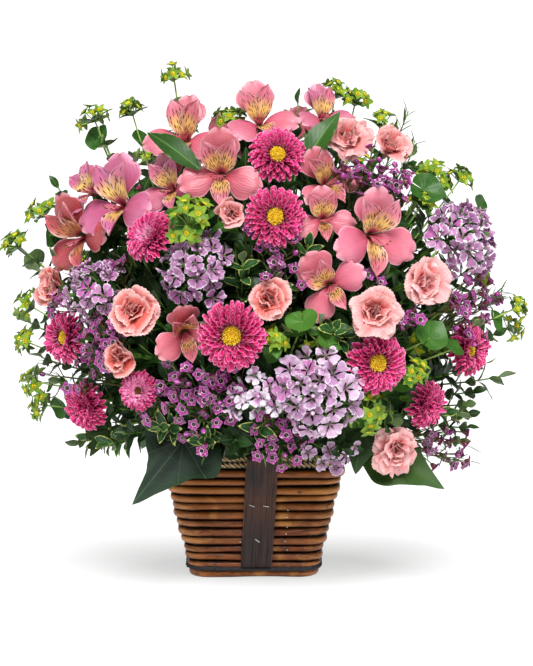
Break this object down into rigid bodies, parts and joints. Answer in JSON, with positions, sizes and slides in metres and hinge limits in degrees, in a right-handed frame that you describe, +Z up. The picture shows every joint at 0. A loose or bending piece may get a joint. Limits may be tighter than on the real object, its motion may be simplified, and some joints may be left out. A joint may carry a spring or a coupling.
{
  "type": "flower basket arrangement",
  "caption": "Rounded arrangement of mixed cut flowers and greenery in a tapered square rod basket with a braided rim and a wooden slat.",
  "frame": {"origin": "centre of the basket's underside, on the surface that it stands on", "axes": "+Z up, -Y towards the front with the slightly leaning slat, +X to the right as seen from the front"},
  "size_m": [0.4357, 0.3177, 0.4175],
  "materials": {
    "rods": "glossy red-brown stain",
    "rim_cord": "twisted natural cord",
    "slat": "dark stained, satin",
    "board": "plain stained",
    "liner": "dark moulded",
    "foam": "wet, with fine cells",
    "aster": "magenta petals round a yellow disc",
    "carnation": "soft salmon petals",
    "dianthus": "lilac petals with white edges",
    "alstroemeria": "salmon pink petals",
    "waxflower": "waxy purple petals",
    "greenery": "fresh stems and leaves"
  },
  "bodies": {
    "root": {"floor_board": "board", "rod_wall": "rods", "rim_braid": "rim_cord", "front_slat": "slat", "back_slat": "slat", "inner_batten": "board", "liner": "liner", "foam": "foam", "aster_top": "aster", "aster_upper": "aster", "aster_upper_left": "aster", "aster_centre": "aster", "aster_left": "aster", "aster_low_left": "aster", "aster_small": "aster", "aster_right_centre": "aster", "aster_low_right": "aster", "aster_right": "aster", "aster_back_top": "aster", "aster_back_right": "aster", "aster_back_left": "aster", "carnation_top_right": "carnation", "carnation_top_far": "carnation", "carnation_bud": "carnation", "carnation_far_left": "carnation", "carnation_left": "carnation", "carnation_low_left": "carnation", "carnation_centre": "carnation", "carnation_right_centre": "carnation", "carnation_right": "carnation", "carnation_low_right": "carnation", "carnation_back_top": "carnation", "carnation_back_left": "carnation", "carnation_back_low": "carnation", "dianthus_right": "dianthus", "dianthus_left_centre": "dianthus", "dianthus_left": "dianthus", "dianthus_low": "dianthus", "dianthus_low_centre": "dianthus", "dianthus_back": "dianthus", "alstroemeria_top_left": "alstroemeria", "alstroemeria_left": "alstroemeria", "alstroemeria_top": "alstroemeria", "alstroemeria_top_right": "alstroemeria", "alstroemeria_right": "alstroemeria", "alstroemeria_centre": "alstroemeria", "alstroemeria_low_left": "alstroemeria", "alstroemeria_back": "alstroemeria", "waxflower_top_right": "waxflower", "waxflower_right": "waxflower", "waxflower_left": "waxflower", "waxflower_low_left": "waxflower", "waxflower_low": "waxflower", "waxflower_low_right": "waxflower", "greenery_left": "greenery", "greenery_front_left": "greenery", "greenery_front_right": "greenery", "greenery_right": "greenery", "greenery_back_right": "greenery", "greenery_back_left": "greenery"}
  },
  "joints": []
}
